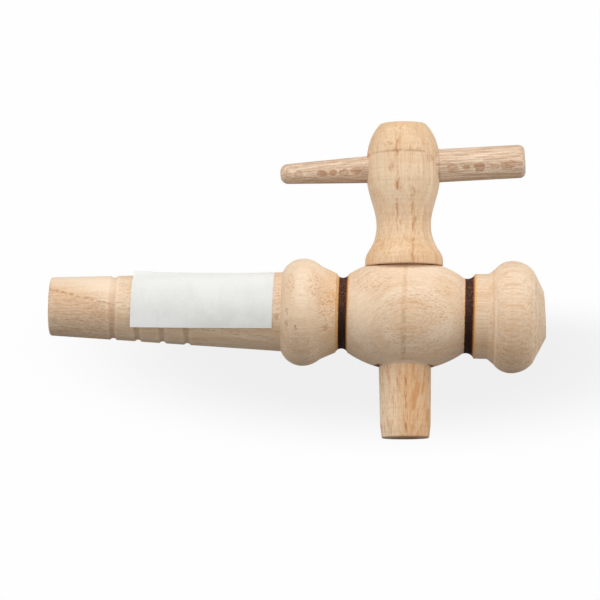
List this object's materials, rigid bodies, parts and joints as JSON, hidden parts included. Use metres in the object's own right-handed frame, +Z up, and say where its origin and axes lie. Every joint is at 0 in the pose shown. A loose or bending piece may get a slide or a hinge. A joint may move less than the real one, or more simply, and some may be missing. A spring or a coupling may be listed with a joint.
{
  "type": "barrel spigot",
  "caption": "Turned wooden barrel tap with a tapered grooved shank, a ball between burnt rings, a knob, and a plug key turned by a peg handle, with the spout at the key's foot.",
  "frame": {"origin": "on the body's axis, where the shank meets the shoulder bead that stops against the barrel", "axes": "+X along the body, away from the barrel and towards the knob; +Z up, towards the key's head; the label faces -Y"},
  "size_m": [0.1785, 0.0404, 0.114],
  "materials": {
    "body_wood": "bare, fine turned, two rings burnt dark",
    "key_wood": "bare, fine turned",
    "peg_wood": "bare, fine grained with ray flecks",
    "label_paper": "matte uncoated"
  },
  "bodies": {
    "tap_body": {"spigot_body": "body_wood", "paper_label": "label_paper"},
    "turning_key": {"key": "key_wood", "handle_peg": "peg_wood"}
  },
  "joints": [
    {"name": "key_turn", "type": "hinge", "parent": "tap_body", "child": "turning_key", "pos_m": [0.0441, 0, 0], "axis": [-0.0314, 0, 0.9995], "continuous": true}
  ]
}
